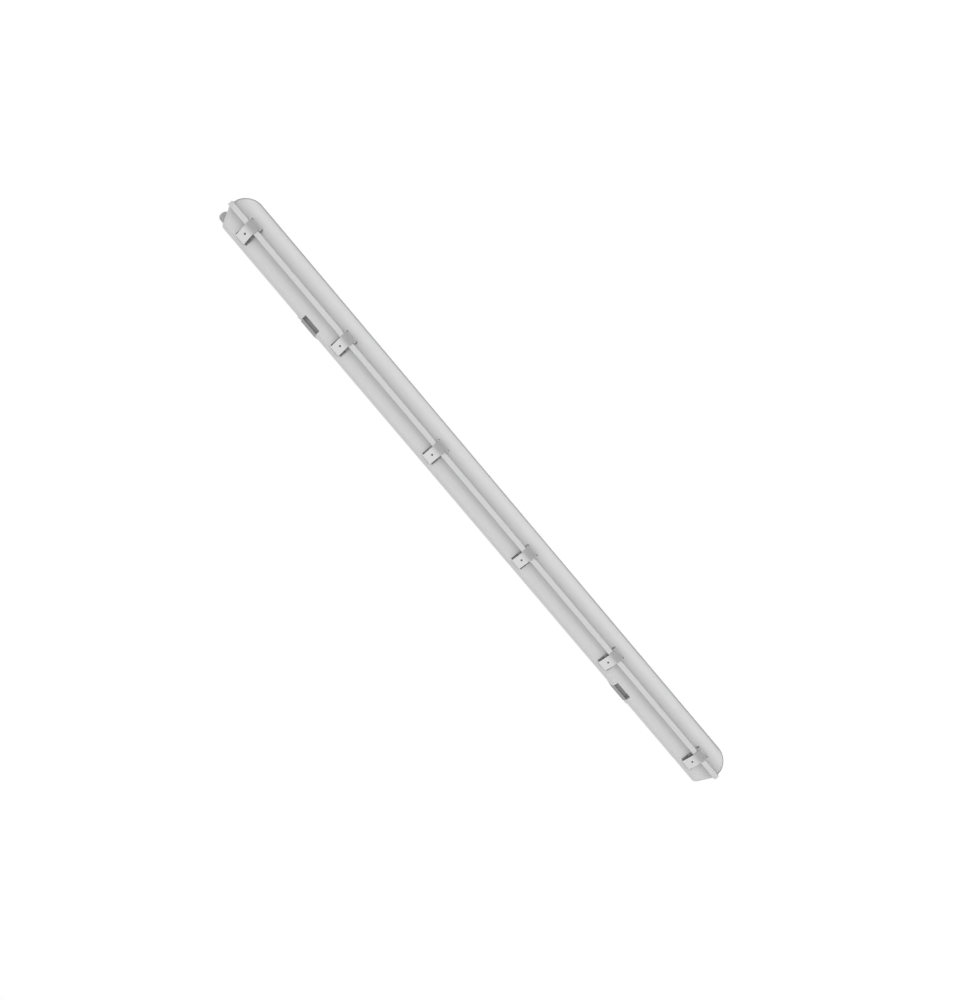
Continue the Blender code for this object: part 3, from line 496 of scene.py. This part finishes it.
for start_x, end_x, radius in ((boss_x, length / 2, spot_radius),
                               (boss_x - boss_depth - wall, boss_x - boss_face, inner_radius),
                               (boss_x - boss_face - wall, boss_x + wall, bore_radius)):
    cuts.append(add_rod((start_x, 0.0, gland_z), (end_x, 0.0, gland_z), radius, boss_sides))
combine(housing, "UNION", additions)
combine(housing, "DIFFERENCE", cuts)

flow_size = (60 * mm, 12 * mm, 12 * mm)
flow_contrast = 0.03
flow_share = 0.6
grain_depth = 0.02 * mm
grain_gloss = 0.1
fine_detail = 2.0
coarse_detail = 3.0
smooth_angle = 35


def moulded(name, colour, roughness, grain):
    """Moulded plastic with a fine spark-eroded grain and faint flow marks."""
    finish = Finish(name)
    flow = finish.noise(flow_size, coarse_detail)
    speck = finish.noise(grain, fine_detail)
    dark = tuple(part * (1 - flow_contrast) for part in colour)
    light = tuple(part * (1 + flow_contrast) for part in colour)
    cloudy = flow_share * flow + (1 - flow_share) * speck
    finish.set("Base Color", finish.shade(cloudy, dark, light))
    finish.set("Roughness", roughness - grain_gloss / 2 + grain_gloss * speck)
    finish.bump(speck, grain_depth)
    return finish.material


def dress(piece, material, body, slot, *replaced):
    """Give a finished piece its material and body, and hide the nodes it replaces.  Its slot
    is not used.
    """
    piece.data.materials.clear()
    piece.data.materials.append(material)
    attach(piece, body)
    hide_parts(*replaced)


def smooth(piece, angle=smooth_angle):
    """Smooth shading that keeps real edges crisp and long flat faces flat."""
    make_active(piece)
    bpy.ops.object.shade_smooth_by_angle(angle=radians(angle))
    weighted = piece.modifiers.new("weighted", "WEIGHTED_NORMAL")
    weighted.keep_sharp = True
    bpy.ops.object.modifier_apply(modifier=weighted.name)


smooth(housing)
case_grain = 0.45 * mm
housing_grey = moulded("housing_grey", (0.60, 0.60, 0.60), 0.42, case_grain)
dress(housing, housing_grey, "fixture", "housing_grey", "housing")

# Gasket.  A soft ring of foamed sealing compound in the housing's groove, which
# the diffuser's rim presses on.  Only its edge shows, in the joint.


def coat(name, material):
    """Give a CAD node that keeps its shape a better material."""
    nodes[name].data.materials.clear()
    nodes[name].data.materials.append(material)


foam_cell = 0.6 * mm
foam_depth = 0.1 * mm
foam = Finish("foam_seal", roughness=0.85)
cells = foam.noise(foam_cell, coarse_detail)
foam.set("Base Color", foam.shade(cells, (0.60, 0.60, 0.58), (0.80, 0.80, 0.78)))
foam.bump(cells, foam_depth)
coat("gasket", foam.material)

# Diffuser.  The frosted cover is a second moulding, with a rim that stands in the
# groove, walls that round over to a flat bottom, and for each clip a catch of two
# cheeks with a bar.  Its colour is painted darker near the housing's rim, as painted
# shade of the rim's overhang, and darker at its grazing edges, as painted shade.
cover_rim_z = -53 * mm
cover_top_z = -48.3 * mm
cover_step_z = -49.6 * mm
cover_drop = 38.3 * mm
cover_overhang = 9.6 * mm
cover_flat = 13 * mm
cover_wall = 1.8 * mm
cover_end_round = 30 * mm
cover_corner = 14 * mm
cover_bottom_corner = 11 * mm
cover_steps = 22
side_power = 2.3
end_power = 1.7
rim_outer = 2.6 * mm
rim_inner = 9.0 * mm
rim_chamfer = 0.9 * mm
rim_step = 0.4 * mm


def cover_outlines(shell):
    """Outlines down the cover's wall, from the rim to the flat bottom."""
    made = []
    half = width / 2 - cover_overhang - shell
    for step in range(cover_steps + 1):
        angle = pi / 2 * step / cover_steps
        down = sin(angle) ** (2 / side_power)
        out = max(cos(angle), 0.0) ** (2 / side_power) if step < cover_steps else 0.0
        past = max(1 - down ** end_power, 0.0) ** (1 / end_power)
        made.append((width / 2 - cover_flat - (half - cover_flat) * out,
                     end_overhang + shell + cover_end_round * (1 - past),
                     cover_corner - shell + (cover_bottom_corner - cover_corner) * down,
                     cover_rim_z - (cover_drop - shell) * down))
    return made


cover_inner = cover_overhang + cover_wall
cover_shape = list(reversed(cover_outlines(0.0)))
cover_shape += [
    (rim_outer, rim_outer, flange_corner - rim_outer, cover_rim_z),
    (rim_outer, rim_outer, flange_corner - rim_outer, cover_top_z),
    (rim_inner, rim_inner, flange_corner - rim_inner, cover_top_z),
    (rim_inner, rim_inner, flange_corner - rim_inner, cover_step_z),
    (cover_inner, rim_inner + rim_step, flange_corner - rim_inner - rim_step, cover_step_z),
    (cover_inner, rim_inner + rim_step, flange_corner - rim_inner - rim_step,
     cover_rim_z + rim_chamfer),
]
cover_shape += cover_outlines(cover_wall)
diffuser = draw_shell("diffuser_cover", cover_shape)

pin_y = 47.3 * mm
pin_z = -56.5 * mm
pin_radius = 1.5 * mm
cheek_root = 39.5 * mm
cheek_top_z = -52.1 * mm
cheek_nose = 2.7 * mm
cheek_gap = 0.4 * mm
cheek_thickness = 2 * mm
cheek_drop = 2 * mm
cheek_top_round = 2.9 * mm
cheek_nose_round = 2.6 * mm
cheek_steps = 6
bar_sides = 24


def join(pieces):
    make_active(pieces[0])
    for piece in pieces:
        piece.select_set(True)
    bpy.ops.object.join()
    return bpy.context.object


cheeks = []
bars = []
for x in clip_places:
    for side in (1, -1):
        for end in (1, -1):
            inner = x + end * (clip_width / 2 + cheek_gap)
            outer = inner + end * cheek_thickness
            nose = side * (pin_y + cheek_nose)
            root = side * cheek_root
            low_z = pin_z - cheek_nose
            add_block((inner, root, low_z), (outer, nose, cheek_top_z))
            pick(lambda at: near(at.y, nose) and near(at.z, cheek_top_z), "EDGE")
            bpy.ops.mesh.bevel(offset=cheek_top_round, segments=cheek_steps)
            pick(lambda at: near(at.y, nose) and near(at.z, low_z), "EDGE")
            bpy.ops.mesh.bevel(offset=cheek_nose_round, segments=cheek_steps)
            pick(lambda at: near(at.y, root) and near(at.z, low_z), "EDGE")
            bpy.ops.transform.translate(value=(0.0, 0.0, -cheek_drop))
            cheeks.append(done())
        reach = clip_width / 2 + cheek_gap + cheek_thickness / 2
        y = side * pin_y
        bars.append(add_rod((x - reach, y, pin_z), (x + reach, y, pin_z),
                            pin_radius, bar_sides))
combine(diffuser, "UNION", [join(cheeks), join(bars)])
smooth(diffuser)

# Painted shade: the cover's colour is darkest above the first height, near the housing's rim,
# and full below the second.
painted_shade_from_z = -60 * mm
painted_shade_to_z = -75 * mm
painted_shade_under_rim = 0.78
painted_shade_lift = 0.175
mottling = 0.04
painted_edge_shade = 2.6
pearl_size = 0.7 * mm
pearl_depth = 0.05 * mm
cover_roughness = 0.45
pearl_gloss = 0.1
cover_dark = (0.10, 0.10, 0.10)
cover_light = (0.62, 0.62, 0.62)
cloud_size = (90 * mm, 25 * mm, 25 * mm)
frosted = Finish("frosted_cover", specular_ior_level=0.2)
pearl = frosted.noise(pearl_size, fine_detail)
cloud = frosted.noise(cloud_size, coarse_detail)
# Painted shade: the colour darkens where the surface turns edge-on to the view.
slant = frosted.node("ShaderNodeLayerWeight", {}, {"Blend": 0.5}, 1)
edge_on = slant * slant
below_painted_shade = frosted.ramp(frosted.along("Z"), painted_shade_from_z, painted_shade_to_z)
# The mottling is the cover's own tone; the rest is painted shade near the rim and at grazing
# edges.
frosting_and_painted_shade = (painted_shade_under_rim + painted_shade_lift * below_painted_shade + mottling * cloud + mottling * pearl
            - painted_edge_shade * edge_on * edge_on)
frosted.set("Base Color", frosted.shade(frosting_and_painted_shade, cover_dark, cover_light))
frosted.set("Roughness", cover_roughness + pearl_gloss * pearl)
frosted.bump(pearl, pearl_depth)
dress(diffuser, frosted.material, "fixture", "frosted_cover", "diffuser")

# Clips.  Each is one strip of spring stainless steel: a curl that hinges on the
# diffuser's bar, a straight stretch up over the rim, a leaning plate with a small
# hole, a hem, and a leaf that returns inside to press on the rim's upper side.
clip_thickness = 0.8 * mm
curl_radius = 2.2 * mm
curl_start = radians(150)
curl_end = radians(340)
curl_steps = 18
skirt_run = 3.5 * mm
plate_width = 24 * mm
plate_start_z = -43 * mm
skirt_head_z = -38.6 * mm
hem_outer_y = 41.375 * mm
hem_inner_y = 39.175 * mm
hem_z = -13.2 * mm
leaf_tip_y = 46.0 * mm
leaf_tip_z = -40.5 * mm
clip_bend = 1.2 * mm
head_bend = 45 * mm
hem_bend = 1.0 * mm
bend_steps = 8
clip_hole_z = -28.9 * mm
clip_hole_radius = 2.1 * mm
clip_hole_sides = 32
punch_y = 45 * mm
punch_reach = 12 * mm
sheet_edge = 0.12 * mm
sheared_angle = 50


def rounded_path(points, radii):
    """Replace each inner corner of a path by an arc of its own radius."""
    rounded = [points[0]]
    for before, corner, after, radius in zip(points, points[1:], points[2:], radii):
        back = (before - corner).normalized()
        ahead = (after - corner).normalized()
        half_angle = back.angle(ahead) / 2
        reach = radius / tan(half_angle)
        centre = corner + (back + ahead).normalized() * (radius / sin(half_angle))
        first = (corner + back * reach - centre).normalized()
        last = (corner + ahead * reach - centre).normalized()
        for step in range(bend_steps + 1):
            rounded.append(centre + radius * first.slerp(last, step / bend_steps))
    rounded.append(points[-1])
    return rounded


def bent_strip(name, path, strip_width, thickness):
    """Draw a strip's edge along a path of (y, z) points, then give it its thickness."""
    bpy.ops.object.select_all(action="DESELECT")
    bpy.ops.mesh.primitive_plane_add(size=strip_width)
    strip = bpy.context.object
    strip.name = name
    bpy.ops.object.mode_set(mode="EDIT")
    pick(lambda at: at.y > 0)
    bpy.ops.mesh.delete(type="VERT")
    bpy.ops.mesh.select_all(action="SELECT")
    bpy.ops.transform.translate(value=(0.0, strip_width / 2 + path[0].x, path[0].y))
    for before, after in zip(path, path[1:]):
        step = after - before
        bpy.ops.mesh.extrude_region_move(
            TRANSFORM_OT_translate={"value": (0.0, step.x, step.y)})
    bpy.ops.mesh.select_all(action="SELECT")
    bpy.ops.mesh.normals_make_consistent(inside=False)
    bpy.ops.object.mode_set(mode="OBJECT")
    solid = strip.modifiers.new("thickness", "SOLIDIFY")
    solid.thickness = thickness
    solid.offset = 0.0
    solid.use_even_offset = True
    bpy.ops.object.modifier_apply(modifier=solid.name)
    return strip


def break_edges(piece, size):
    """Round the sheared edges of sheet metal."""
    make_active(piece)
    bevel = piece.modifiers.new("edges", "BEVEL")
    bevel.width = size
    bevel.segments = 2
    bevel.limit_method = "ANGLE"
    bevel.angle_limit = radians(sheared_angle)
    bpy.ops.object.modifier_apply(modifier=bevel.name)


pin = Vector((pin_y, pin_z))
curl = []
for step in range(curl_steps + 1):
    angle = curl_start + (curl_end - curl_start) * step / curl_steps
    curl.append(pin + curl_radius * Vector((cos(angle), sin(angle))))
leaving = Vector((-sin(curl_end), cos(curl_end)))
skirt_foot = curl[-1] + leaving * ((pin_y + skirt_run - curl[-1].x) / leaving.x)
clip_corners = [curl[-1], skirt_foot, Vector((pin_y + skirt_run, skirt_head_z)),
                Vector((hem_outer_y, hem_z)), Vector((hem_inner_y, hem_z)),
                Vector((leaf_tip_y, leaf_tip_z))]
clip_path = curl[:-1] + rounded_path(clip_corners,
                                     [clip_bend, head_bend, hem_bend, hem_bend])
clip_form = bent_strip("clip_form", clip_path, clip_width, clip_thickness)
bpy.ops.object.mode_set(mode="EDIT")
pick(lambda at: at.z > plate_start_z)
bpy.ops.transform.resize(value=(plate_width / clip_width, 1.0, 1.0))
bpy.ops.object.mode_set(mode="OBJECT")
bpy.ops.object.select_all(action="DESELECT")
bpy.ops.mesh.primitive_cylinder_add(vertices=clip_hole_sides, radius=clip_hole_radius,
                                    depth=punch_reach, location=(0.0, punch_y, clip_hole_z),
                                    rotation=(pi / 2, 0.0, 0.0))
combine(clip_form, "DIFFERENCE", [bpy.context.object])
break_edges(clip_form, sheet_edge)
smooth(clip_form)

line_contrast = 0.90
line_share = 0.7
line_gloss = 0.12
smudge_gloss = 0.10
polish = 0.08
line_depth = 0.006 * mm
smudge_size = 9 * mm


def brushed(name, stretch, colour, roughness):
    """Cold rolled steel with fine lines along its length and faint handling marks."""
    finish = Finish(name, metallic=1.0)
    lines = finish.noise(stretch, fine_detail)
    smudge = finish.noise(smudge_size, coarse_detail)
    dark = tuple(part * line_contrast for part in colour)
    streaks = line_share * lines + (1 - line_share) * smudge
    finish.set("Base Color", finish.shade(streaks, dark, colour))
    finish.set("Roughness", roughness - polish + line_gloss * lines + smudge_gloss * smudge)
    finish.bump(lines, line_depth)
    return finish.material


clip_lines = (0.25 * mm, 12 * mm, 12 * mm)
stainless = brushed("stainless", clip_lines, (0.73, 0.73, 0.73), 0.32)
for row, side in (("front", -1), ("rear", 1)):
    for k, x in enumerate(clip_places, start=1):
        clip = clip_form.copy()
        clip.data = clip_form.data.copy()
        clip.name = f"spring_clip_{row}_{k}"
        bpy.context.scene.collection.objects.link(clip)
        clip.location = (x, 0.0, 0.0)
        clip.rotation_euler.z = 0.0 if side > 0 else pi
        make_active(clip)
        bpy.ops.object.transform_apply(location=True, rotation=True, scale=True)
        dress(clip, stainless, f"clip_{row}_{k}", "stainless", f"clip_{row}_{k}")
bpy.data.objects.remove(clip_form, do_unlink=True)

# Mounting straps.  Two bands of the same steel lie against the ceiling.  Their
# arms follow the housing's shoulders and hook under the lips of its pockets, and
# each band has two screw holes.  Their steel is painted much darker than the clips',
# as painted shade in the pockets.
strap_width = 41.4 * mm
strap_thickness = 1.5 * mm
strap_flat = 27 * mm
strap_corner = 35.4 * mm
strap_end = 29.1 * mm
strap_middle_z = -0.75 * mm
tongue_z = -8.05 * mm
strap_bend = 1.2 * mm
strap_hole = 13 * mm
strap_hole_radius = 2.75 * mm
strap_hole_sides = 48
strap_edge = 0.2 * mm
strap_lines = (0.25 * mm, 14 * mm, 14 * mm)
strap_arm = ((strap_end, tongue_z), (strap_corner, tongue_z), (strap_flat, strap_middle_z))
strap_corners = ([Vector((-y, z)) for y, z in strap_arm]
                 + [Vector((y, z)) for y, z in reversed(strap_arm)])
strap_path = rounded_path(strap_corners, [strap_bend] * 4)
# Painted shade: the clips' stainless, painted darker for the shade in the pockets.
strap_steel_painted_shade = brushed("strap_steel_painted_shade", strap_lines, (0.38, 0.38, 0.38), 0.36)
for end, x in zip(("gland_end", "far_end"), strap_places):
    strap = bent_strip(f"strap_{end}", strap_path, strap_width, strap_thickness)
    strap.location.x = x
    make_active(strap)
    bpy.ops.object.transform_apply(location=True, rotation=True, scale=True)
    combine(strap, "DIFFERENCE",
            [add_rod((x, y, -2 * strap_thickness), (x, y, strap_thickness),
                     strap_hole_radius, strap_hole_sides)
             for y in (strap_hole, -strap_hole)])
    break_edges(strap, strap_edge)
    smooth(strap)
    dress(strap, strap_steel_painted_shade, "fixture", "stainless", f"bracket_{end}")

# Cable gland.  A grey nylon body screwed into the boss, with a rubber washer under
# its hexagon, a locknut inside, a rubber seal in its mouth and a ribbed dome nut
# that squeezes the seal onto the cable.
nut_stand_off = 6.9 * mm
nut_length = 14.7 * mm
nut_start = boss_x + nut_stand_off
nut_end = nut_start + nut_length
nut_radius = 11.25 * mm
nut_dome = 6 * mm
nut_mouth = 5.1 * mm
nut_wall = 2.2 * mm
nut_thread = nut_radius - nut_wall
nut_sides = 96
nut_ribs = 24
dome_x = nut_end - nut_dome
dome_middle = nut_radius - nut_dome
nut_lip = 0.5 * mm
nut_collar = 1.6 * mm
grip_clearance = 0.8 * mm
mouth_edge = 0.3 * mm
dome_steps = 10
inner_dome_steps = 8
groove_edge = 0.2 * mm
groove_depth = 0.35 * mm
weld_distance = 0.001 * mm
nut_profile = [(nut_start, nut_thread), (nut_start, nut_radius - nut_lip),
               (nut_start + nut_lip, nut_radius), (nut_start + nut_collar, nut_radius),
               (dome_x - grip_clearance, nut_radius)]
for step in range(dome_steps + 1):
    angle = pi / 2 * (1 - step / dome_steps)
    nut_profile.append((dome_x + nut_dome * cos(angle), dome_middle + nut_dome * sin(angle)))
nut_profile += [(nut_end - mouth_edge, nut_mouth), (nut_end - nut_wall, nut_mouth)]
inner_dome = nut_dome - nut_wall
for step in range(1, inner_dome_steps + 1):
    angle = pi / 2 * step / inner_dome_steps
    nut_profile.append((dome_x + inner_dome * cos(angle),
                        nut_thread - inner_dome * (1 - sin(angle))))


def turned(name, profile, centre_z, sides):
    """Draw a ring's profile of (x, radius) points and spin it about the gland's axis."""
    bpy.ops.object.select_all(action="DESELECT")
    bpy.ops.mesh.primitive_plane_add(size=1.0)
    ring = bpy.context.object
    ring.name = name
    bpy.ops.object.mode_set(mode="EDIT")
    bpy.ops.mesh.merge(type="CENTER")
    bpy.ops.mesh.select_all(action="SELECT")
    points = [Vector((x, 0.0, centre_z + radius)) for x, radius in profile]
    bpy.ops.transform.translate(value=points[0])
    for before, after in zip(points, points[1:]):
        bpy.ops.mesh.extrude_region_move(TRANSFORM_OT_translate={"value": after - before})
    bpy.ops.mesh.select_all(action="SELECT")
    bpy.ops.mesh.edge_face_add()
    bpy.ops.mesh.delete(type="ONLY_FACE")
    bpy.ops.mesh.select_all(action="SELECT")
    bpy.ops.mesh.spin(steps=sides, angle=2 * pi, center=(0.0, 0.0, centre_z),
                      axis=(1.0, 0.0, 0.0))
    bpy.ops.mesh.select_all(action="SELECT")
    bpy.ops.mesh.remove_doubles(threshold=weld_distance)
    bpy.ops.mesh.normals_make_consistent(inside=False)


turned("dome_nut", nut_profile, gland_z, nut_sides)


def on_grip(at):
    """Whether a face of the nut's straight part lies in a groove between two ribs."""
    outward = Vector((at.y, at.z - gland_z))
    share = (outward.angle_signed(Vector((1.0, 0.0))) / (2 * pi) * nut_ribs) % 1.0
    outside = outward.length > nut_radius - nut_lip / 2
    return outside and nut_start + nut_collar < at.x < dome_x and share < 0.5


pick(on_grip, "FACE")
bpy.ops.mesh.inset(thickness=groove_edge, depth=-groove_depth)
dome_nut = done()
nut_smooth_angle = 30
gland_grain = 0.3 * mm
smooth(dome_nut, nut_smooth_angle)
gland_grey = moulded("gland_grey", (0.42, 0.42, 0.42), 0.45, gland_grain)
dress(dome_nut, gland_grey, "gland_nut", "gland_grey", "gland_nut")
rubber = moulded("seal_rubber", (0.05, 0.05, 0.05), 0.7, gland_grain)
for name, material in (("gland_body", gland_grey), ("gland_locknut", gland_grey),
                       ("gland_washer", rubber), ("gland_seal", rubber)):
    coat(name, material)

# Gear tray.  A folded channel of white powder coated sheet steel, screwed to the
# housing's posts.  It carries the driver and the terminals above and the light
# boards below.
peel_size = 1.2 * mm
peel_depth = 0.03 * mm
powder_coat = Finish("powder_coat", roughness=0.45)
peel = powder_coat.noise(peel_size, fine_detail)
powder_white = powder_coat.shade(peel, (0.80, 0.80, 0.79), (0.86, 0.86, 0.85))
powder_coat.set("Base Color", powder_white)
powder_coat.bump(peel, peel_depth)
coat("gear_tray", powder_coat.material)

# Light boards.  Three long circuit boards with white solder mask and a row of
# yellow light emitting packages soldered along the middle of the underside.
board_bottom_z = -48.8 * mm
mask_thickness = 0.05 * mm
mask_speck_size = 2 * mm
package_yellow = (0.84, 0.66, 0.20, 1.0)
solder_mask = Finish("solder_mask", roughness=0.4)
below_mask = solder_mask.along("Z") < board_bottom_z - mask_thickness
mask_speck = solder_mask.noise(mask_speck_size, fine_detail)
mask_white = solder_mask.shade(mask_speck, (0.82, 0.83, 0.82), (0.88, 0.89, 0.88))
solder_mask.set("Base Color", solder_mask.node("ShaderNodeMix", {"data_type": "RGBA"},
                                               {0: below_mask, 6: mask_white,
                                                7: package_yellow}, 2))
for k in range(1, 4):
    coat(f"led_board_{k}", solder_mask.material)

# Driver, terminal block and connectors.  The driver is a sealed white plastic case
# fixed by two ears, and the supply ends in a three pole terminal block.
terminal_grain = 0.35 * mm
driver_white = moulded("driver_white", (0.76, 0.76, 0.74), 0.5, case_grain)
terminal_white = moulded("terminal_white", (0.78, 0.78, 0.75), 0.5, terminal_grain)
coat("driver", driver_white)
for name in ("terminal_block", *(f"board_connector_{k}" for k in range(1, 6))):
    coat(name, terminal_white)

# Leads.  Single insulated wires from the terminals to the driver and the tray, and
# flat twin leads from the driver to the boards and between them.
lead_grain = 0.5 * mm
twin_white = (0.72, 0.72, 0.70)
for name, colour in (("live_lead", (0.26, 0.13, 0.07)), ("neutral_lead", (0.10, 0.20, 0.48)),
                     ("earth_lead", (0.20, 0.42, 0.12)), ("feed_lead", twin_white),
                     ("link_lead_1", twin_white), ("link_lead_2", twin_white)):
    coat(name, moulded(name + "_insulation", colour, 0.4, lead_grain))

# Screws.  Zinc plated pan head screws hold the tray to the posts, the boards to the
# tray and the driver's ears.
zinc_lines = (0.4 * mm, 0.4 * mm, 3 * mm)
zinc = brushed("zinc_plate", zinc_lines, (0.60, 0.60, 0.58), 0.35)
for name in nodes:
    if "screw" in name:
        coat(name, zinc)
